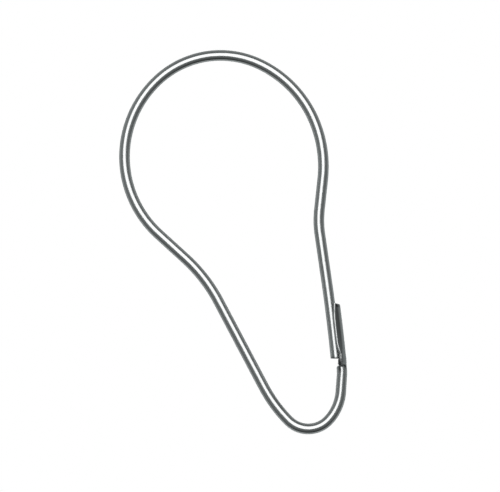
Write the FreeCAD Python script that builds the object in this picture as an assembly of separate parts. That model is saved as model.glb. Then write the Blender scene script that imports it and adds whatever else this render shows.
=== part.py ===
# Shower curtain hook: one length of bright spring wire bent to a pear-shaped ring.
# Its free leg snaps into a catch that is formed from the wire's other end.
# Frame, as the hook hangs: Z is up along its length, X lies in the ring's plane and
# points to the catch side, and Y runs through the ring along the curtain rod.
# The origin is the rod seat, the inside of the crown that bears on the rod.
import FreeCAD
import Part
import math
import os

# Every size is in millimetres and every angle in degrees.
WIRE_DIAMETER = 2.1

# Crown, bent tighter than the loop on both sides of it
CROWN_RADIUS = 17.5
CROWN_RIGHT_ANGLE = 44.0
CROWN_LEFT_ANGLE = 23.2

# Right side from the crown down to the free end. A bend is (radius, angle).
RIGHT_SHOULDER = (21.0, 44.5)
RIGHT_FLANK = (22.5, 26.9)
RIGHT_TAPER_LENGTH = 5.9
RIGHT_WAIST = (18.5, 14.4)
LEG_STRAIGHT_LENGTH = 8.5
LEG_BOW = (340.0, 2.6)
LEG_END_SLANT = 5.7
LEG_END_BREAK = 0.12

# Left side from the crown down, round the foot and up to the catch.
# The shank and the riser are the two straights that close the ring.
LEFT_LOOP = (20.0, 95.2)
LEFT_TAPER_LENGTH = 6.9
LEFT_WAIST = (30.0, 19.8)
HEEL = (27.0, 16.9)
TOE = (5.3, 92.8)
INSTEP = (8.8, 39.0)
NECK_RADIUS = 7.5
NECK_STRAIGHT_LENGTH = 0.3

# Catch, placed by distance up the free leg from its cropped end. The squeezed wire
# spreads as its wall thins, and is curled round the leg with a small clearance.
# The curl opens a little towards the neck and towards the cropped tip.
# A station is (distance, how far the catch's back lies from the leg's centreline,
# wall thickness, half angle of the curl, outside radius of the curl).
NECK_SETBACK = 0.86
NECK_TOP = -1.8
CATCH_STATIONS = (
    (-1.10, 1.930, 1.25, 61.2, 1.53),
    (-0.75, 1.950, 1.10, 58.0, 1.74),
    (-0.35, 1.970, 0.94, 59.3, 1.90),
    (0.10, 1.980, 0.81, 48.9, 2.25),
    (0.55, 1.985, 0.78, 48.9, 2.30),
    (1.00, 1.985, 0.77, 53.4, 2.19),
    (1.90, 1.990, 0.75, 65.8, 1.98),
    (3.00, 1.990, 0.74, 73.5, 1.89),
    (7.50, 1.980, 0.74, 72.5, 1.90),
    (8.70, 1.980, 0.72, 65.7, 1.97),
    (11.00, 1.980, 0.70, 46.1, 2.40),
)
TIP_HEIGHT = 10.2
TIP_BACK = 1.98
TIP_SLANT = 22.0
TIP_BREAK = 0.08

# How far a wire end runs on before it is cropped, and the size of what a cut takes away
CROP_SPARE = 0.5
CROP_SIZE = 8.0

WIRE_RADIUS = WIRE_DIAMETER / 2
SHANK_HEADING = 180.0 + CROWN_LEFT_ANGLE + LEFT_LOOP[1] - LEFT_WAIST[1]
RISER_HEADING = SHANK_HEADING + HEEL[1] + TOE[1] + INSTEP[1]
THROUGH = FreeCAD.Vector(0, 1, 0)
CROWN_TOP = FreeCAD.Vector(0, 0, WIRE_RADIUS)


def direction(heading):
    """Unit vector in the ring's plane, turned from +X towards +Z."""
    angle = math.radians(heading)
    return FreeCAD.Vector(math.cos(angle), 0, math.sin(angle))


class Centreline:
    """The wire's centreline, laid run by run, each run tangent to the last."""

    def __init__(self, point, heading):
        self.point = point
        self.heading = heading
        self.edges = []

    def straight(self, length):
        start = self.point
        self.point = start + direction(self.heading) * length
        if length > 0:
            self.edges.append(Part.LineSegment(start, self.point).toShape())

    def bend(self, radius, angle):
        """An arc. A positive angle turns to the left of the way it runs."""
        side = math.copysign(90.0, angle)
        centre = self.point + direction(self.heading + side) * radius
        middle = centre - direction(self.heading + side + angle / 2) * radius
        end = centre - direction(self.heading + side + angle) * radius
        self.edges.append(Part.Arc(self.point, middle, end).toShape())
        self.point = end
        self.heading += angle

    def wire_solid(self):
        """Round wire swept along the centreline."""
        first = self.edges[0]
        tangent = first.tangentAt(first.FirstParameter)
        ring = Part.Circle(first.valueAt(first.FirstParameter), tangent, WIRE_RADIUS)
        return Part.Wire(self.edges).makePipeShell([Part.Wire(ring.toShape())], True, True)


def right_side(run_on=0.0):
    """Crown to free end: shoulder, flank, waist and the slightly bowed leg."""
    line = Centreline(CROWN_TOP, 0.0)
    line.bend(CROWN_RADIUS, -CROWN_RIGHT_ANGLE)
    line.bend(RIGHT_SHOULDER[0], -RIGHT_SHOULDER[1])
    line.bend(RIGHT_FLANK[0], -RIGHT_FLANK[1])
    line.straight(RIGHT_TAPER_LENGTH)
    line.bend(*RIGHT_WAIST)
    line.straight(LEG_STRAIGHT_LENGTH)
    line.bend(LEG_BOW[0], -LEG_BOW[1] - math.degrees(run_on / LEG_BOW[0]))
    return line


def left_side(shank_length, riser_length, catch_heading):
    """Crown to the catch: loop, waist, shank, foot, riser and the bend at the neck."""
    line = Centreline(CROWN_TOP, 180.0)
    line.bend(CROWN_RADIUS, CROWN_LEFT_ANGLE)
    line.bend(*LEFT_LOOP)
    line.straight(LEFT_TAPER_LENGTH)
    line.bend(LEFT_WAIST[0], -LEFT_WAIST[1])
    line.straight(shank_length)
    line.bend(*HEEL)
    line.bend(*TOE)
    line.bend(*INSTEP)
    line.straight(riser_length)
    line.bend(NECK_RADIUS, catch_heading + 360.0 - RISER_HEADING)
    line.straight(NECK_STRAIGHT_LENGTH)
    return line


def closed_left_side(target, catch_heading):
    """The left side with the shank and riser lengths that end it at the target."""
    gap = target - left_side(0.0, 0.0, catch_heading).point
    shank = direction(SHANK_HEADING)
    riser = direction(RISER_HEADING)
    area = shank.cross(riser).y
    return left_side(gap.cross(riser).y / area, shank.cross(gap).y / area, catch_heading)


class LegFrame:
    """Places the catch's sections square to the free leg."""

    def __init__(self, leg):
        self.end = leg.point
        self.heading = leg.heading + 180.0
        self.bow_centre = self.end + direction(self.heading + 90.0) * LEG_BOW[0]

    def heading_at(self, distance):
        return self.heading + math.degrees(max(distance, 0.0) / LEG_BOW[0])

    def place(self, distance, out, through=0.0):
        """Point at a distance up the leg, out from its centreline and through the ring."""
        outward = direction(self.heading_at(distance) - 90.0)
        below = direction(self.heading) * min(distance, 0.0)
        return self.bow_centre + below + outward * (LEG_BOW[0] + out) + THROUGH * through


def arc_section(corners):
    """Closed outline from (start, middle, end) points of its arcs."""
    return Part.Wire([Part.Arc(*points).toShape() for points in corners])


def round_section(frame, distance):
    """The wire's own round at the neck, split as the curl is."""
    splits = (-50.0, 50.0, 130.0, 230.0, 310.0)

    def at(angle):
        turn = math.radians(angle)
        out = NECK_SETBACK + WIRE_RADIUS * math.cos(turn)
        return frame.place(distance, out, WIRE_RADIUS * math.sin(turn))

    return arc_section([(at(a), at((a + b) / 2), at(b)) for a, b in zip(splits, splits[1:])])


def curled_section(frame, distance, back, wall, half_angle, outer):
    """Crescent open to the leg, its edges left round by the squeezing."""
    centre = back - outer
    inner = outer - wall
    turn = math.radians(half_angle)
    nose_out = (outer - wall / 2) * math.cos(turn) - wall / 2 * math.sin(turn)
    nose_through = (outer - wall / 2) * math.sin(turn) + wall / 2 * math.cos(turn)

    def at(radius, angle):
        return frame.place(distance, centre + radius * math.cos(angle), radius * math.sin(angle))

    far_nose = frame.place(distance, centre + nose_out, nose_through)
    near_nose = frame.place(distance, centre + nose_out, -nose_through)
    return arc_section([
        (at(outer, -turn), at(outer, 0.0), at(outer, turn)),
        (at(outer, turn), far_nose, at(inner, turn)),
        (at(inner, turn), at(inner, 0.0), at(inner, -turn)),
        (at(inner, -turn), near_nose, at(outer, -turn)),
    ])


def cropped_off(point, heading):
    """What a cropping cut takes away: all that lies past a plane square to the heading."""
    corner = FreeCAD.Vector(-CROP_SIZE / 2, -CROP_SIZE / 2, 0)
    waste = Part.makeBox(CROP_SIZE, CROP_SIZE, CROP_SIZE, corner)
    waste.rotate(FreeCAD.Vector(), THROUGH, 90.0 - heading)
    waste.translate(point)
    return waste


def with_end_broken(solid, point, size):
    """Takes the sharp edge off the flat cut face that lies nearest to a point."""
    cuts = [face for face in solid.Faces if face.Surface.TypeId == "Part::GeomPlane"]
    cut = min(cuts, key=lambda face: (face.CenterOfMass - point).Length)
    return solid.makeChamfer(size, cut.Edges)


def catch(frame):
    """The squeezed shoulder above the round neck, and the trough curled round the leg."""
    sections = [curled_section(frame, *station) for station in CATCH_STATIONS]
    shoulder = Part.makeLoft([round_section(frame, NECK_TOP), sections[0]], True, True)
    tip = frame.place(TIP_HEIGHT, TIP_BACK)
    waste = cropped_off(tip, frame.heading_at(TIP_HEIGHT) - TIP_SLANT)
    trough = Part.makeLoft(sections, True, True).cut(waste)
    return shoulder.fuse(with_end_broken(trough, tip, TIP_BREAK))


def free_leg(frame):
    """The leg side run on a little, then cropped at a slight slant."""
    waste = cropped_off(frame.end, frame.heading + 180.0 - LEG_END_SLANT)
    leg = right_side(CROP_SPARE).wire_solid().cut(waste)
    return with_end_broken(leg, frame.end, LEG_END_BREAK)


def hook_wire():
    """The whole hook: leg side, foot side and catch as one solid."""
    frame = LegFrame(right_side())
    neck = frame.place(NECK_TOP, NECK_SETBACK)
    foot_side = closed_left_side(neck, frame.heading)
    return free_leg(frame).fuse([foot_side.wire_solid(), catch(frame)]).removeSplitter().Solids[0]


os.makedirs("parts", exist_ok=True)
hook_wire().exportStep("parts/hook_wire.step")
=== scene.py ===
# Shower curtain hook, dressed in Blender: one length of bright drawn wire bent to a
# pear-shaped ring, with its foot end pressed into a catch that curls round the free leg.
# The sizes are the ones the solid was made with. Metres throughout, Z up as it hangs.
import bpy
import math
from mathutils import Matrix, Vector


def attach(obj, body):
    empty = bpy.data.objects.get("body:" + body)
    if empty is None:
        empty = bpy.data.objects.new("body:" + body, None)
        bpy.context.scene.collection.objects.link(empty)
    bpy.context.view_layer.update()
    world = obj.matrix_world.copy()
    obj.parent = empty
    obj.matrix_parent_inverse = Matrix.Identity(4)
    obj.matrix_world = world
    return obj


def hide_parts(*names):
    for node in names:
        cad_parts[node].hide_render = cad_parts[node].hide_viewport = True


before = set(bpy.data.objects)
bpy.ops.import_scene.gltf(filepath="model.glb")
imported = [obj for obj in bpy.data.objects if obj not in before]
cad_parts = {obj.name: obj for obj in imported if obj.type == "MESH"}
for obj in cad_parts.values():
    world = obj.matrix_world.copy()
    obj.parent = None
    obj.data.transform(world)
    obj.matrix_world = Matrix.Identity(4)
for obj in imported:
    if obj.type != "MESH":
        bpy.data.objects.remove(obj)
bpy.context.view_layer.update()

MM = 0.001
WIRE_RADIUS = 1.05 * MM

# Bends of the centreline, each (radius, angle in degrees), laid down both sides from the crown
CROWN_RADIUS = 17.5 * MM
CROWN_RIGHT_ANGLE = 44.0
CROWN_LEFT_ANGLE = 23.2
RIGHT_SHOULDER = (21.0 * MM, 44.5)
RIGHT_FLANK = (22.5 * MM, 26.9)
RIGHT_TAPER_LENGTH = 5.9 * MM
RIGHT_WAIST = (18.5 * MM, 14.4)
LEG_STRAIGHT_LENGTH = 8.5 * MM
LEG_BOW = (340.0 * MM, 2.6)
LEFT_LOOP = (20.0 * MM, 95.2)
LEFT_TAPER_LENGTH = 6.9 * MM
LEFT_WAIST = (30.0 * MM, 19.8)
HEEL = (27.0 * MM, 16.9)
TOE = (5.3 * MM, 92.8)
INSTEP = (8.8 * MM, 39.0)
NECK_RADIUS = 7.5 * MM
NECK_STRAIGHT_LENGTH = 0.3 * MM

# Catch, by distance up the free leg: (distance, how far its back lies from the leg's
# centreline, wall thickness, half angle of the curl, outside radius of the curl)
NECK_SETBACK = 0.86 * MM
NECK_TOP = -1.8 * MM
CATCH_STATIONS = (
    (-1.10 * MM, 1.930 * MM, 1.25 * MM, 61.2, 1.53 * MM),
    (-0.75 * MM, 1.950 * MM, 1.10 * MM, 58.0, 1.74 * MM),
    (-0.35 * MM, 1.970 * MM, 0.94 * MM, 59.3, 1.90 * MM),
    (0.10 * MM, 1.980 * MM, 0.81 * MM, 48.9, 2.25 * MM),
    (0.55 * MM, 1.985 * MM, 0.78 * MM, 48.9, 2.30 * MM),
    (1.00 * MM, 1.985 * MM, 0.77 * MM, 53.4, 2.19 * MM),
    (1.90 * MM, 1.990 * MM, 0.75 * MM, 65.8, 1.98 * MM),
    (3.00 * MM, 1.990 * MM, 0.74 * MM, 73.5, 1.89 * MM),
    (7.50 * MM, 1.980 * MM, 0.74 * MM, 72.5, 1.90 * MM),
    (8.70 * MM, 1.980 * MM, 0.72 * MM, 65.7, 1.97 * MM),
    (11.00 * MM, 1.980 * MM, 0.70 * MM, 46.1, 2.40 * MM),
)
# The squeezed edges: (distance, their bulge as a share of a full round, how far the squeezed
# wire has spread through the ring as a share of its curl)
RIM_SHAPES = (
    (-1.80 * MM, 1.00, 1.000),
    (-1.10 * MM, 1.00, 1.000),
    (-0.75 * MM, 1.00, 1.110),
    (-0.35 * MM, 1.00, 1.060),
    (0.10 * MM, 1.00, 1.000),
    (0.75 * MM, 0.75, 1.000),
    (1.50 * MM, 0.75, 1.000),
    (11.00 * MM, 0.75, 1.000),
)
# The press's flattening dies out down the riser from its share at the neck
PRESS_RUN_IN = 7.0 * MM
PRESS_AT_NECK = 0.09
# Spans up the free leg, each (start, full, fading, stop), or for the end's painted shade from the
# leg's
# cropped end: painted shade along the pinched crease, painted shade in nicks at the crop and the
# neck, a rougher scuff at the neck, the zone of the web's painted shade and the rim's painted
# highlight, and painted shade round the cropped end. The nick shade at the neck is a little weaker
# than the crop's.
CREASE_SHADE_SPAN = (-2.90 * MM, -2.10 * MM, -0.10 * MM, 0.15 * MM)
CROP_NICK_SHADE = (9.55 * MM, 9.74 * MM, 9.82 * MM, 10.00 * MM)
NECK_NICK_SHADE = (-2.25 * MM, -1.85 * MM, -1.40 * MM, -1.10 * MM)
NECK_SCUFF = (-1.30 * MM, -0.90 * MM, -0.10 * MM, 0.40 * MM)
PAINTED_LIGHT_ZONE = (0.80 * MM, 5.00 * MM, 11.00 * MM, 12.00 * MM)
END_SHADE_SPAN = (-1.00 * MM, 0.00 * MM, 0.15 * MM, 0.60 * MM)
NECK_NICK_SHADE_STRENGTH = 0.9
# The crops: how high the catch's tip ends, and how many degrees each cut slants
TIP_HEIGHT = 10.20 * MM
TIP_SLANT = 22.0
LEG_END_SLANT = 5.7

# How finely the skin is laid along the wire, fine over the shoulder and its next few steps
WIRE_STEP = 0.35 * MM
SHOULDER_STEP = 0.05 * MM
SHOULDER_FINE_STEPS = 4
CATCH_STEP = 0.15 * MM
RING_POINTS = 96
# The ring's angle where the squeezed web turns over into its rim
FOLD_ANGLE = 50.0
# How far the cropped ends are rounded, by how many rings, how many roundings in the plain
# rings begin, and over what length the rings come upright from the slanted cut
LEG_END_ROUND = 0.12 * MM
LEG_END_CLEAR = 1.5
TIP_ROUND = 0.08 * MM
TIP_CLEAR = 1.2
END_RINGS = 6
CUT_LEAN_RUN = 2.5 * MM

# Plating: its draw lines and its mottling, each (width, length, detail, roughness), and how
# much each of them adds to its tone, its own roughness and its relief
LINES = (0.10 * MM, 4.00 * MM, 3.0, 0.6)
MOTTLE = (0.45 * MM, 0.90 * MM, 2.0, 0.5)
PLATE_TONE = 0.58
LINES_TONE = 0.06
MOTTLE_TONE = 0.08
PLATE_RED_SHARE = 0.98
PLATE_ROUGHNESS = 0.11
MOTTLE_ROUGHNESS = 0.10
SCUFF_ROUGHNESS = 0.25
LINES_RELIEF = 0.6
RELIEF_DEPTH = 0.003 * MM

# Where the painted shade and painted light lie across the section, from -1 on the leg's side to 1 on
# the back. A band is (middle, core, reach), full in its core and gone past its reach, and a pair is
# where an edge starts and ends. The crease's painted shade shifts outward as the wire is pressed. The
# pressed metal is darker, except on the rim's painted highlight and the back edge's painted sheen,
# and the web gets painted shade.
CREASE_SHADE_BAND = (-0.36, 0.18, 0.34)
CREASE_SHADE_SHIFT = 0.60
CREASE_SHADE_DARKNESS = 0.72
NICK_SHADE_BAND = (0.75, 0.06, 0.18)
NICK_SHADE_DARKNESS = 0.95
END_SHADE_HIGHLIGHT_GAP = (-0.05, 0.08, 0.30)
END_SHADE_DARKNESS = 0.60
RIM_PAINTED_HIGHLIGHT = (0.50, 0.10, 0.16)
BACK_PAINTED_SHEEN = (0.88, 0.97)
WEB_SHADE_START = (0.62, 0.68)
WEB_SHADE_END = (0.82, 0.96)
PRESS_DARKENING = 0.30
WEB_PAINTED_SHADE = 0.22

SHANK_HEADING = 180.0 + CROWN_LEFT_ANGLE + LEFT_LOOP[1] - LEFT_WAIST[1]
RISER_HEADING = SHANK_HEADING + HEEL[1] + TOE[1] + INSTEP[1]
THROUGH = Vector((0.0, 1.0, 0.0))
CROWN_TOP = Vector((0.0, 0.0, WIRE_RADIUS))

# Camera: where the picture's middle falls on the hook, how the hook leans in it, and its width
PICTURE_MIDDLE = Vector((-0.905 * MM, 0.0, -36.11 * MM))
PICTURE_WIDTH = 95.416 * MM
PICTURE_LEAN = math.radians(19.26)
CAMERA_DISTANCE = 1.2
SENSOR_WIDTH = 36.0

# Softboxes: the key is placed by angles from the line of view, and the back one lies behind
# the hook. The glow is the plain brightness that the wire reflects.
KEY_ACROSS = -0.3
KEY_ABOVE = 22.0
KEY_TURNED = 17.4
KEY_DISTANCE = 1.5
KEY_HALF_WIDTH = 1.036
KEY_HALF_HEIGHT = 0.766
KEY_SQUARENESS = 2.8
KEY_GLOW = 1.68
BACK_ACROSS = 180.0
BACK_DISTANCE = 0.9
BACK_HALF_SIZE = 0.40
BACK_GLOW = 1.66
OUTLINE_POINTS = 96

# Grey cards all round: their level in front and behind, how it changes towards the picture's
# top, right, top and bottom ends and sides, where the front turns to the back, and a deeper
# ring round the back softbox. Turns run from -1, towards the camera, to 1, straight behind.
CARDS_FRONT = 0.199
CARDS_UPWARD = 0.062
CARDS_RIGHTWARD = -0.028
CARDS_ENDS = -0.099
CARDS_SIDEWARD = -0.057
CARDS_SIDEWARD_FROM = -0.4
CARDS_BEHIND = 0.35
CARDS_BEHIND_UPWARD = -0.061
CARDS_TURN = -0.054
CARDS_TURN_WIDTH = 0.08
CARDS_DEEP = 0.12
CARDS_DEEP_TURN = (0.80, 0.88)
CARDS_RED_SHARE = 0.94
CARDS_RADIUS = 2.2
CARDS_ROWS = 24
CARDS_COLUMNS = 48

# Floor and surround: the floor's paint, how white the camera sees it, its size and height,
# and the light that the surround gives beside what is seen of it
FLOOR_PAINT = 0.9
FLOOR_WHITE = 0.8
FLOOR_HALF_SIZE = 1.5
FLOOR_LEVEL = -0.25
SURROUND_GLOW = 0.35
WHITE = (1.0, 1.0, 1.0, 1.0)

PICTURE_RIGHT = Vector((math.cos(PICTURE_LEAN), 0.0, -math.sin(PICTURE_LEAN)))
PICTURE_UP = Vector((math.sin(PICTURE_LEAN), 0.0, math.cos(PICTURE_LEAN)))
TO_CAMERA = Vector((0.0, -1.0, 0.0))


class Field:
    """A number that varies over a piece: a socket whose arithmetic adds Math nodes."""

    def __init__(self, maker, socket):
        self.maker = maker
        self.socket = socket

    def math(self, operation, *others):
        values = dict(enumerate((self,) + others))
        return self.maker.add("ShaderNodeMath", {"operation": operation}, values)

    def __add__(self, other):
        return self.math("ADD", other)

    def __radd__(self, other):
        return self.math("ADD", other)

    def __sub__(self, other):
        return self.math("SUBTRACT", other)

    def __rsub__(self, other):
        return self.maker.number("SUBTRACT", other, self)

    def __mul__(self, other):
        return self.math("MULTIPLY", other)

    def __rmul__(self, other):
        return self.math("MULTIPLY", other)

    def __truediv__(self, other):
        return self.math("DIVIDE", other)

    def __rtruediv__(self, other):
        return self.maker.number("DIVIDE", other, self)

    def __abs__(self):
        return self.math("ABSOLUTE")

    def least(self, other):
        return self.math("MINIMUM", other)

    def between(self, low, high):
        """0 at low, 1 at high, held at both ends."""
        values = {"Value": self, "From Min": low, "From Max": high}
        return self.maker.add("ShaderNodeMapRange", {"clamp": True}, values)

    def eased(self, low, high):
        """As between, with a soft start and finish."""
        values = {"Value": self, "From Min": low, "From Max": high}
        settings = {"interpolation_type": "SMOOTHSTEP"}
        return self.maker.add("ShaderNodeMapRange", settings, values)


class Way(Field):
    """A direction or place that varies over a piece: its arithmetic adds Vector Math nodes."""

    def combine(self, operation, other):
        values = {0: self, 1: other}
        made = self.maker.add("ShaderNodeVectorMath", {"operation": operation}, values)
        return Way(self.maker, made.socket)

    def __add__(self, other):
        return self.combine("ADD", other)

    def __radd__(self, other):
        return self + other

    def __mul__(self, other):
        if isinstance(other, (Way, tuple, Vector)):
            return self.combine("MULTIPLY", other)
        values = {0: self, "Scale": other}
        made = self.maker.add("ShaderNodeVectorMath", {"operation": "SCALE"}, values)
        return Way(self.maker, made.socket)

    def __rmul__(self, other):
        return self * other

    def cross(self, other):
        return self.combine("CROSS_PRODUCT", other)

    def dot(self, other):
        settings = {"operation": "DOT_PRODUCT"}
        return self.maker.add("ShaderNodeVectorMath", settings, {0: self, 1: other}, "Value")

    def unit(self):
        made = self.maker.add("ShaderNodeVectorMath", {"operation": "NORMALIZE"}, {0: self})
        return Way(self.maker, made.socket)


class Maker:
    """Adds nodes to one tree."""

    def __init__(self, tree):
        self.tree = tree

    def add(self, kind, settings=None, values=None, output=0):
        """A node of that kind, its settings made first, then its sockets filled or linked."""
        node = self.tree.nodes.new(kind)
        for name, setting in (settings or {}).items():
            setattr(node, name, setting)
        for key, value in (values or {}).items():
            self.fill(node.inputs[key], value)
        return Field(self, node.outputs[output]) if node.outputs else node

    def fill(self, socket, value):
        if isinstance(value, Field):
            self.tree.links.new(value.socket, socket)
        else:
            socket.default_value = value

    def number(self, operation, first, second):
        return self.add("ShaderNodeMath", {"operation": operation}, {0: first, 1: second})

    def way(self, kind, settings=None, values=None, output=0):
        return Way(self, self.add(kind, settings, values, output).socket)

    def vector(self, x, y, z):
        return self.way("ShaderNodeCombineXYZ", None, {0: x, 1: y, 2: z})


def direction(heading):
    """Unit vector in the ring's plane, turned from +X towards +Z."""
    angle = math.radians(heading)
    return Vector((math.cos(angle), 0.0, math.sin(angle)))


class Centreline:
    """The wire's centreline, walked run by run. Its places are (point, heading)."""

    def __init__(self, point, heading):
        self.places = [(point, heading)]

    @property
    def end(self):
        return self.places[-1]

    def straight(self, length):
        start, heading = self.end
        count = max(1, math.ceil(length / WIRE_STEP))
        for step in range(1, count + 1):
            self.places.append((start + direction(heading) * (length * step / count), heading))

    def bend(self, radius, angle):
        """An arc. A positive angle turns to the left of the way it runs."""
        start, heading = self.end
        side = math.copysign(90.0, angle)
        centre = start + direction(heading + side) * radius
        count = max(2, math.ceil(abs(math.radians(angle)) * radius / WIRE_STEP))
        for step in range(1, count + 1):
            turned = heading + angle * step / count
            self.places.append((centre - direction(turned + side) * radius, turned))


def right_side():
    """Crown to free end: shoulder, flank, waist and the slightly bowed leg."""
    line = Centreline(CROWN_TOP, 0.0)
    line.bend(CROWN_RADIUS, -CROWN_RIGHT_ANGLE)
    line.bend(RIGHT_SHOULDER[0], -RIGHT_SHOULDER[1])
    line.bend(RIGHT_FLANK[0], -RIGHT_FLANK[1])
    line.straight(RIGHT_TAPER_LENGTH)
    line.bend(*RIGHT_WAIST)
    line.straight(LEG_STRAIGHT_LENGTH)
    line.bend(LEG_BOW[0], -LEG_BOW[1])
    return line


def left_side(shank_length, riser_length, catch_heading):
    """Crown to the catch: loop, waist, shank, foot, riser and the bend at the neck."""
    line = Centreline(CROWN_TOP, 180.0)
    line.bend(CROWN_RADIUS, CROWN_LEFT_ANGLE)
    line.bend(*LEFT_LOOP)
    line.straight(LEFT_TAPER_LENGTH)
    line.bend(LEFT_WAIST[0], -LEFT_WAIST[1])
    line.straight(shank_length)
    line.bend(*HEEL)
    line.bend(*TOE)
    line.bend(*INSTEP)
    line.straight(riser_length)
    line.bend(NECK_RADIUS, catch_heading + 360.0 - RISER_HEADING)
    line.straight(NECK_STRAIGHT_LENGTH)
    return line


def closed_left_side(target, catch_heading):
    """The left side, with the shank and riser lengths that end it at the target."""
    gap = target - left_side(0.0, 0.0, catch_heading).end[0]
    shank = direction(SHANK_HEADING)
    riser = direction(RISER_HEADING)
    area = shank.cross(riser).y
    return left_side(gap.cross(riser).y / area, shank.cross(gap).y / area, catch_heading)


class LegFrame:
    """Places the catch's stations square to the free leg."""

    def __init__(self, leg):
        self.end, heading = leg.end
        self.heading = heading + 180.0
        self.bow_centre = self.end + direction(self.heading + 90.0) * LEG_BOW[0]

    def heading_at(self, distance):
        return self.heading + math.degrees(max(distance, 0.0) / LEG_BOW[0])

    def place(self, distance, out):
        """Point at a distance up the leg and out from its centreline."""
        outward = direction(self.heading_at(distance) - 90.0)
        below = direction(self.heading) * min(distance, 0.0)
        return self.bow_centre + below + outward * (LEG_BOW[0] + out)


def smooth_between(table, distance):
    """A station's other numbers at a distance, on smooth lines through the table's stations."""
    count = len(table)
    upper = next((i for i in range(1, count) if table[i][0] >= distance), count - 1)
    lower = upper - 1
    before = table[max(lower - 1, 0)]
    start = table[lower]
    stop = table[upper]
    after = table[min(upper + 1, count - 1)]
    span = stop[0] - start[0]
    t = (distance - start[0]) / span
    values = []
    for column in range(1, len(start)):
        slope_in = (stop[column] - before[column]) / (stop[0] - before[0]) * span
        slope_out = (after[column] - start[column]) / (after[0] - start[0]) * span
        values.append(
            (2 * t**3 - 3 * t**2 + 1) * start[column]
            + (t**3 - 2 * t**2 + t) * slope_in
            + (3 * t**2 - 2 * t**3) * stop[column]
            + (t**3 - t**2) * slope_out
        )
    return values


def end_rings(size):
    """(distance in from a cut face, inset of the section) of the rings that round its edge."""
    turns = [math.pi / 2 * step / END_RINGS for step in range(END_RINGS + 1)]
    return [(size * (1 - math.cos(turn)), size * (1 - math.sin(turn))) for turn in turns]


def lean_of_cut(slant, depth):
    """How far a ring leans to follow a slanted cut, dying out with depth behind it."""
    return math.tan(math.radians(slant)) * max(0.0, 1.0 - depth / CUT_LEAN_RUN)


def marked(distance, span):
    """How strongly a span of painted shade, painted light or scuff holds at a distance, 0 outside it.
    """
    start, full, fading, stop = span
    rise = (distance - start) / (full - start)
    fall = (stop - distance) / (stop - fading)
    return max(0.0, min(1.0, rise, fall))


def wire_stations(places):
    """Stations of the round wire from its cropped end to the neck, the cut's edge rounded."""
    end, heading = places[0]
    first = direction(heading)
    start = end - first * (WIRE_RADIUS * math.tan(math.radians(LEG_END_SLANT)))

    def station(place, heading, inset=0.0):
        depth = (place - start).length
        return {
            "place": place,
            "heading": heading,
            "burr": marked(depth, END_SHADE_SPAN),
            "inset": inset,
            "lean": lean_of_cut(LEG_END_SLANT, depth),
        }

    rounded = end_rings(LEG_END_ROUND)
    stations = [station(start + first * depth, heading, inset) for depth, inset in rounded]
    for place, heading in places:
        gone = place - start
        if gone.dot(first) > LEG_END_ROUND * LEG_END_CLEAR or gone.length > WIRE_STEP:
            stations.append(station(place, heading))
    return stations


def catch_stations(leg):
    """Stations of the shoulder and the curled catch, from the neck to the slanted tip."""
    first = CATCH_STATIONS[0]

    def station(distance, inset=0.0):
        formed = min(1.0, (distance - NECK_TOP) / (first[0] - NECK_TOP))
        shape = first[1:] if distance < first[0] else smooth_between(CATCH_STATIONS, distance)
        back, wall, curl, curl_radius = shape
        bulge, spread = smooth_between(RIM_SHAPES, distance)
        return {
            "place": leg.place(distance, NECK_SETBACK),
            "heading": leg.heading_at(distance),
            "press": PRESS_AT_NECK + (1.0 - PRESS_AT_NECK) * formed**2,
            "pinch": marked(distance, CREASE_SHADE_SPAN),
            "nick": marked(distance, CROP_NICK_SHADE) + NECK_NICK_SHADE_STRENGTH * marked(distance, NECK_NICK_SHADE),
            "scuff": marked(distance, NECK_SCUFF),
            "dull": marked(distance, PAINTED_LIGHT_ZONE),
            "back": back,
            "wall": wall,
            "curl": math.radians(curl),
            "curl_radius": curl_radius,
            "bulge": bulge,
            "spread": spread,
            "inset": inset,
            "lean": lean_of_cut(TIP_SLANT, TIP_HEIGHT - distance),
        }

    distances = []
    distance = NECK_TOP + SHOULDER_STEP
    while distance < TIP_HEIGHT - TIP_ROUND * TIP_CLEAR:
        distances.append(distance)
        fine = distance < first[0] + SHOULDER_FINE_STEPS * SHOULDER_STEP
        distance += SHOULDER_STEP if fine else CATCH_STEP
    stations = [station(distance) for distance in distances]
    rounded = [station(TIP_HEIGHT - depth, inset) for depth, inset in end_rings(TIP_ROUND)]
    return stations + rounded[::-1]


def all_stations():
    """Every station of the skin, from the free end up the leg and round to the tip."""
    leg_side = right_side()
    leg = LegFrame(leg_side)
    neck = leg.place(NECK_TOP, NECK_SETBACK)
    foot_side = closed_left_side(neck, leg.heading)
    upward = [(place, heading - 180.0) for place, heading in reversed(leg_side.places)]
    stations = wire_stations(upward + foot_side.places[1:])
    for station in stations[len(stations) // 2:]:
        below = (neck - station["place"]).length
        nearness = max(0.0, 1.0 - below / PRESS_RUN_IN)
        station["press"] = PRESS_AT_NECK * nearness**2 * (3 - 2 * nearness)
        station["pinch"] = marked(NECK_TOP - below, CREASE_SHADE_SPAN)
        station["nick"] = NECK_NICK_SHADE_STRENGTH * marked(NECK_TOP - below, NECK_NICK_SHADE)
    return stations + catch_stations(leg)


STATION_NUMBERS = (
    "press", "pinch", "nick", "scuff", "dull", "burr", "back", "wall", "curl", "curl_radius",
    "bulge", "spread", "inset", "lean", "along",
)
WHERE_UNPRESSED = {
    "back": CATCH_STATIONS[0][1],
    "wall": CATCH_STATIONS[0][2],
    "curl": math.radians(CATCH_STATIONS[0][3]),
    "curl_radius": CATCH_STATIONS[0][4],
    "bulge": 1.0,
    "spread": 1.0,
}


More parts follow.
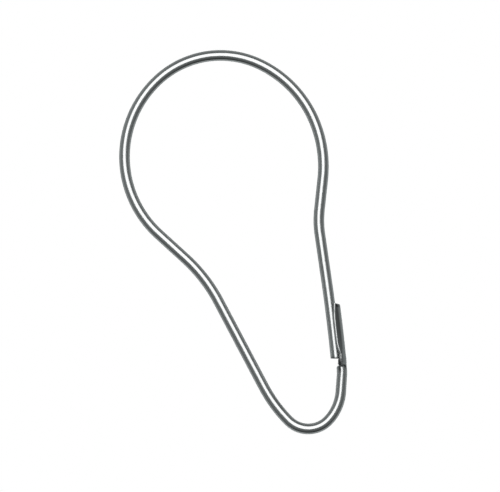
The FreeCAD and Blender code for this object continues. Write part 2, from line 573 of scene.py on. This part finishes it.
def station_mesh(stations):
    """A chain of edges through the stations, which carry their section's numbers."""
    along = 0.0
    for before, here in zip(stations, stations[1:]):
        along += (here["place"] - before["place"]).length
        here["along"] = along
    mesh = bpy.data.meshes.new("wire_stations")
    places = [station["place"] for station in stations]
    mesh.from_pydata(places, [(i, i + 1) for i in range(len(places) - 1)], [])
    for name in STATION_NUMBERS:
        unpressed = WHERE_UNPRESSED.get(name, 0.0)
        column = mesh.attributes.new(name, "FLOAT", "POINT")
        column.data.foreach_set("value", [station.get(name, unpressed) for station in stations])
    outward = mesh.attributes.new("outward", "FLOAT_VECTOR", "POINT")
    flat = [part for s in stations for part in direction(s["heading"] - 90.0)]
    outward.data.foreach_set("vector", flat)
    return mesh


def formed_wire_tree():
    """Geometry nodes that lay a ring at each station, round or squeezed and curled."""
    tree = bpy.data.node_groups.new("formed_wire", "GeometryNodeTree")
    sockets = tree.interface
    sockets.new_socket("Stations", in_out="INPUT", socket_type="NodeSocketGeometry")
    for name in ("Wire Radius", "Neck Setback", "Fold Angle"):
        sockets.new_socket(name, in_out="INPUT", socket_type="NodeSocketFloat")
    sockets.new_socket("Ring Points", in_out="INPUT", socket_type="NodeSocketInt")
    sockets.new_socket("Finish", in_out="INPUT", socket_type="NodeSocketMaterial")
    sockets.new_socket("Wire", in_out="OUTPUT", socket_type="NodeSocketGeometry")
    maker = Maker(tree)
    given = tree.nodes.new("NodeGroupInput").outputs
    wire_radius = Field(maker, given["Wire Radius"])
    neck_setback = Field(maker, given["Neck Setback"])
    fold = Field(maker, given["Fold Angle"])
    ring_points = Field(maker, given["Ring Points"])

    def read(name):
        return maker.add("GeometryNodeInputNamedAttribute", {"data_type": "FLOAT"}, {"Name": name})

    def read_way(name):
        settings = {"data_type": "FLOAT_VECTOR"}
        return maker.way("GeometryNodeInputNamedAttribute", settings, {"Name": name})

    def keep(geometry, name, value, kind):
        settings = {"data_type": kind, "domain": "POINT"}
        values = {"Geometry": geometry, "Name": name, "Value": value}
        return maker.add("GeometryNodeStoreNamedAttribute", settings, values)

    line = maker.add("GeometryNodeMeshToCurve", None, {"Mesh": Field(maker, given["Stations"])})
    line = keep(line, "centre", maker.way("GeometryNodeInputPosition"), "FLOAT_VECTOR")
    circle = {"Resolution": ring_points, "Radius": wire_radius}
    ring = maker.add("GeometryNodeCurvePrimitiveCircle", {"mode": "RADIUS"}, circle)
    share = maker.add("GeometryNodeInputIndex") / ring_points
    ring = keep(ring, "turn", share * (2 * math.pi) - math.pi, "FLOAT")
    skin = maker.add("GeometryNodeCurveToMesh", None,
                     {"Curve": line, "Profile Curve": ring, "Fill Caps": True})

    # The squeezed section: out along the web's outside, round the rim, back along its inside
    turn = read("turn")
    inset = read("inset")
    half_wall = read("wall") / 2
    curl_radius = read("curl_radius")
    middle_radius = curl_radius - half_wall
    rim_radius = half_wall - inset
    away = abs(turn)
    rim_turn = away.between(fold, math.pi - fold) * math.pi
    run = (away.least(math.pi - away) / fold).least(1.0)
    side = turn.math("SIGN")
    span = middle_radius * read("curl") * run + rim_radius * read("bulge") * rim_turn.math("SINE")
    level = middle_radius + rim_radius * rim_turn.math("COSINE")
    curled = side * span / middle_radius
    curl_centre = read("back") - curl_radius - neck_setback
    curled_out = level * curled.math("COSINE") + curl_centre
    curled_through = level * curled.math("SINE") * read("spread")

    # The wire's own round, and the blend from one to the other
    round_radius = wire_radius - inset
    press = read("press")
    round_out = round_radius * turn.math("COSINE")
    round_through = round_radius * turn.math("SINE")
    out = round_out + (curled_out - round_out) * press
    through = round_through + (curled_through - round_through) * press

    outward = read_way("outward")
    ahead = outward.cross(THROUGH)
    lean = read("lean") * (wire_radius - out)
    across = maker.vector(0.0, through, 0.0)
    place = read_way("centre") + outward * out + ahead * lean + across
    skin = maker.add("GeometryNodeSetPosition", None, {"Geometry": skin, "Position": place})

    lined_x = wire_radius * turn.math("COSINE")
    lined_y = wire_radius * turn.math("SINE")
    skin = keep(skin, "drawn", maker.vector(lined_x, lined_y, read("along")), "FLOAT_VECTOR")
    skin = maker.add("GeometryNodeSetMaterial", None,
                     {"Geometry": skin, "Material": Field(maker, given["Finish"])})
    skin = maker.add("GeometryNodeRealizeInstances", None, {"Geometry": skin})
    made = tree.nodes.new("NodeGroupOutput").inputs["Wire"]
    maker.fill(made, skin)
    return tree


def with_tree(mesh, name, tree, inputs):
    """Runs a tree on a mesh and returns the result as a plain mesh object."""
    source = bpy.data.objects.new(name + "_source", mesh)
    bpy.context.collection.objects.link(source)
    modifier = source.modifiers.new(tree.name, "NODES")
    modifier.node_group = tree
    for item in tree.interface.items_tree:
        if item.in_out == "INPUT" and item.name in inputs:
            modifier[item.identifier] = inputs[item.name]
    evaluated = source.evaluated_get(bpy.context.evaluated_depsgraph_get())
    made = bpy.data.meshes.new_from_object(evaluated)
    made.name = name
    bpy.data.objects.remove(source)
    piece = bpy.data.objects.new(name, made)
    bpy.context.collection.objects.link(piece)
    return piece


def new_material(name):
    material = bpy.data.materials.new(name)
    material.use_nodes = True
    material.node_tree.nodes.clear()
    return material, Maker(material.node_tree)


def finish_with(maker, shader):
    maker.add("ShaderNodeOutputMaterial", None, {"Surface": shader})


def bright_wire():
    """Bright plated spring wire: fine lines along the draw, faint mottling, a darker pressed catch,
    painted shade at the crease, nicks and cropped end, and painted highlights on the catch.
    """
    material, maker = new_material("bright_wire")
    drawn = maker.way("ShaderNodeAttribute", {"attribute_name": "drawn"}, None, "Vector")
    outward = drawn.dot((1 / WIRE_RADIUS, 0.0, 0.0))

    def strength_of(name):
        return maker.add("ShaderNodeAttribute", {"attribute_name": name}, None, "Fac")

    def grain(width, length, detail, roughness):
        return maker.add("ShaderNodeTexNoise", None, {
            "Vector": drawn * (1 / width, 1 / width, 1 / length),
            "Scale": 1.0, "Detail": detail, "Roughness": roughness})

    def band(middle, core, reach):
        return 1.0 - abs(outward - middle).between(core, reach)

    lines = grain(*LINES)
    mottle = grain(*MOTTLE)
    pressed = strength_of("press")
    painted_zone = strength_of("dull")

    pinch_middle, pinch_core, pinch_reach = CREASE_SHADE_BAND
    pinch_band = band(pinch_middle + CREASE_SHADE_SHIFT * pressed, pinch_core, pinch_reach)
    # Painted shade: a dark line along the pinched crease at the neck
    painted_shade = CREASE_SHADE_DARKNESS * strength_of("pinch") * pinch_band
    # Painted shade in the nicks at the tip's crop and at the neck
    painted_shade = painted_shade + NICK_SHADE_DARKNESS * strength_of("nick") * band(*NICK_SHADE_BAND)
    # Painted shade round the leg's cropped end and its burred edge, left off where the highlight runs
    painted_shade = painted_shade + END_SHADE_DARKNESS * strength_of("burr") * (1.0 - band(*END_SHADE_HIGHLIGHT_GAP))

    # Painted highlight along the rim and painted sheen along the back edge, spared from the pressed
    # metal's darkening; painted shade over the web
    painted_highlights = outward.between(*BACK_PAINTED_SHEEN) + painted_zone * band(*RIM_PAINTED_HIGHLIGHT)
    web = painted_zone * outward.between(*WEB_SHADE_START) * (1.0 - outward.between(*WEB_SHADE_END))
    finish_and_painted_light = 1.0 - PRESS_DARKENING * pressed * (1.0 - painted_highlights) - WEB_PAINTED_SHADE * web
    tone = (PLATE_TONE + LINES_TONE * lines + MOTTLE_TONE * mottle) * finish_and_painted_light * (1.0 - painted_shade)
    roughness = PLATE_ROUGHNESS + MOTTLE_ROUGHNESS * mottle + SCUFF_ROUGHNESS * strength_of("scuff")

    bump = maker.add("ShaderNodeBump", None, {
        "Height": LINES_RELIEF * lines + mottle, "Strength": 1.0, "Distance": RELIEF_DEPTH}, "Normal")
    shader = maker.add("ShaderNodeBsdfPrincipled", None, {
        "Base Color": maker.vector(tone * PLATE_RED_SHARE, tone, tone),
        "Metallic": 1.0, "Roughness": roughness, "Normal": bump}, "BSDF")
    finish_with(maker, shader)
    return material


def stage_piece(name, places, faces, material):
    mesh = bpy.data.meshes.new(name)
    mesh.from_pydata(places, [], faces)
    mesh.materials.append(material)
    piece = bpy.data.objects.new(name, mesh)
    bpy.context.collection.objects.link(piece)
    return piece


def aimed_from(across, above, turned):
    """Axes of something that faces the hook, placed by angles from the line of view."""
    across = math.radians(across)
    above = math.radians(above)
    level_way = TO_CAMERA * math.cos(across) + PICTURE_RIGHT * math.sin(across)
    toward = level_way * math.cos(above) + PICTURE_UP * math.sin(above)
    side = PICTURE_UP.cross(toward).normalized()
    side = Matrix.Rotation(math.radians(turned), 3, toward) @ side
    return side, toward.cross(side), toward


def lamp(name, axes, distance, half_width, half_height, level):
    """The light of a softbox, which the floor gets and reflections don't see."""
    light = bpy.data.lights.new(name, "AREA")
    light.shape = "ELLIPSE"
    light.size = 2 * half_width
    light.size_y = 2 * half_height
    light.energy = math.pi * light.size * light.size_y * level
    holder = bpy.data.objects.new(name, light)
    turned = Matrix(axes).transposed().to_4x4()
    holder.matrix_world = Matrix.Translation(PICTURE_MIDDLE + axes[2] * distance) @ turned
    holder.visible_camera = False
    holder.visible_glossy = False
    bpy.context.collection.objects.link(holder)


def softbox_face(name, axes, distance, half_width, half_height, squareness, level):
    """The glowing face of a softbox with well rounded corners, which reflections see."""
    material, maker = new_material(name)
    finish_with(maker, maker.add("ShaderNodeEmission", None, {"Color": WHITE, "Strength": level}))

    def rounded(part):
        return math.copysign(abs(part) ** (2 / squareness), part)

    side, upward, toward = axes
    outline = []
    for step in range(OUTLINE_POINTS):
        turn = 2 * math.pi * step / OUTLINE_POINTS
        across = side * (half_width * rounded(math.cos(turn)))
        along = upward * (half_height * rounded(math.sin(turn)))
        outline.append(PICTURE_MIDDLE + toward * distance + across + along)
    face = stage_piece(name, outline, [tuple(range(OUTLINE_POINTS))], material)
    seen_only_in_reflections(face)


def seen_only_in_reflections(piece):
    piece.visible_camera = False
    piece.visible_diffuse = False
    piece.visible_transmission = False
    piece.visible_shadow = False


def studio_cards():
    """Grey cards all round, which only reflections see: darkest below, paler behind."""
    material, maker = new_material("studio_cards")
    place = maker.way("ShaderNodeTexCoord", None, None, "Object")
    toward = place.unit()
    right = toward.dot(PICTURE_RIGHT)
    up = toward.dot(PICTURE_UP)
    behind = toward.dot(-TO_CAMERA)
    front = CARDS_FRONT + CARDS_UPWARD * up + CARDS_RIGHTWARD * right + CARDS_ENDS * up * up
    front = front + CARDS_SIDEWARD * (behind - CARDS_SIDEWARD_FROM)
    back = CARDS_BEHIND + CARDS_BEHIND_UPWARD * up
    sides = front + (back - front) * behind.eased(CARDS_TURN, CARDS_TURN + CARDS_TURN_WIDTH)
    grey = sides + (CARDS_DEEP - sides) * behind.eased(*CARDS_DEEP_TURN)
    colour = maker.vector(grey * CARDS_RED_SHARE, grey, grey)
    finish_with(maker, maker.add("ShaderNodeEmission", None, {"Color": colour}))

    places = []
    for row in range(CARDS_ROWS + 1):
        tilt = math.pi * row / CARDS_ROWS
        for column in range(CARDS_COLUMNS):
            turn = 2 * math.pi * column / CARDS_COLUMNS
            level = Vector((math.cos(turn), math.sin(turn), 0.0)) * math.sin(tilt)
            places.append((level + Vector((0.0, 0.0, math.cos(tilt)))) * CARDS_RADIUS)
    faces = []
    for above in range(0, CARDS_ROWS * CARDS_COLUMNS, CARDS_COLUMNS):
        below = above + CARDS_COLUMNS
        for column in range(CARDS_COLUMNS):
            after = (column + 1) % CARDS_COLUMNS
            faces.append((above + column, above + after, below + after, below + column))
    seen_only_in_reflections(stage_piece("studio_cards", places, faces, material))


def pale_floor():
    """A pale floor well below the hanging hook, white to the camera but for its shadow."""
    material, maker = new_material("pale_floor")
    camera_ray = maker.add("ShaderNodeLightPath", None, None, "Is Camera Ray")
    pale = (FLOOR_PAINT, FLOOR_PAINT, FLOOR_PAINT, 1.0)
    paint = maker.add("ShaderNodeBsdfDiffuse", None, {"Color": pale})
    white = maker.add("ShaderNodeEmission", None, {"Color": WHITE})
    layers = {0: camera_ray * FLOOR_WHITE, 1: paint, 2: white}
    finish_with(maker, maker.add("ShaderNodeMixShader", None, layers))
    half = FLOOR_HALF_SIZE
    signs = ((-1, -1), (1, -1), (1, 1), (-1, 1))
    corners = [(half * across, half * through, FLOOR_LEVEL) for across, through in signs]
    floor = stage_piece("pale_floor", corners, [(0, 1, 2, 3)], material)
    floor.visible_glossy = False


def white_world():
    world = bpy.data.worlds.new("white_surround")
    world.use_nodes = True
    world.node_tree.nodes.clear()
    maker = Maker(world.node_tree)
    seen = maker.add("ShaderNodeLightPath", None, None, "Is Camera Ray")
    glossy = maker.add("ShaderNodeLightPath", None, None, "Is Glossy Ray")
    clear = maker.add("ShaderNodeLightPath", None, None, "Is Transmission Ray")
    shown = (seen + glossy + clear).least(1.0)
    strength = SURROUND_GLOW + (1.0 - SURROUND_GLOW) * shown
    sky = maker.add("ShaderNodeBackground", None, {"Color": WHITE, "Strength": strength})
    maker.add("ShaderNodeOutputWorld", None, {"Surface": sky})
    bpy.context.scene.world = world


def picture_camera():
    data = bpy.data.cameras.new("picture_camera")
    data.sensor_width = SENSOR_WIDTH
    data.lens = SENSOR_WIDTH * CAMERA_DISTANCE / PICTURE_WIDTH
    camera = bpy.data.objects.new("picture_camera", data)
    camera.location = PICTURE_MIDDLE + TO_CAMERA * CAMERA_DISTANCE
    camera.rotation_euler = (math.pi / 2, PICTURE_LEAN, 0.0)
    bpy.context.collection.objects.link(camera)
    bpy.context.scene.camera = camera


picture_camera()
white_world()
studio_cards()
pale_floor()
key_axes = aimed_from(KEY_ACROSS, KEY_ABOVE, KEY_TURNED)
lamp("key_lamp", key_axes, KEY_DISTANCE, KEY_HALF_WIDTH, KEY_HALF_HEIGHT, KEY_GLOW)
softbox_face("key_softbox", key_axes, KEY_DISTANCE, KEY_HALF_WIDTH, KEY_HALF_HEIGHT,
             KEY_SQUARENESS, KEY_GLOW)
back_axes = aimed_from(BACK_ACROSS, 0.0, 0.0)
lamp("back_lamp", back_axes, BACK_DISTANCE, BACK_HALF_SIZE, BACK_HALF_SIZE, BACK_GLOW)
softbox_face("back_softbox", back_axes, BACK_DISTANCE, BACK_HALF_SIZE, BACK_HALF_SIZE,
             KEY_SQUARENESS, BACK_GLOW)
bpy.context.scene.view_settings.view_transform = "Standard"

wire = with_tree(station_mesh(all_stations()), "formed_wire", formed_wire_tree(), {
    "Wire Radius": WIRE_RADIUS,
    "Neck Setback": NECK_SETBACK,
    "Fold Angle": math.radians(FOLD_ANGLE),
    "Ring Points": RING_POINTS,
    "Finish": bright_wire(),
})
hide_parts("hook_wire")
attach(wire, "root")
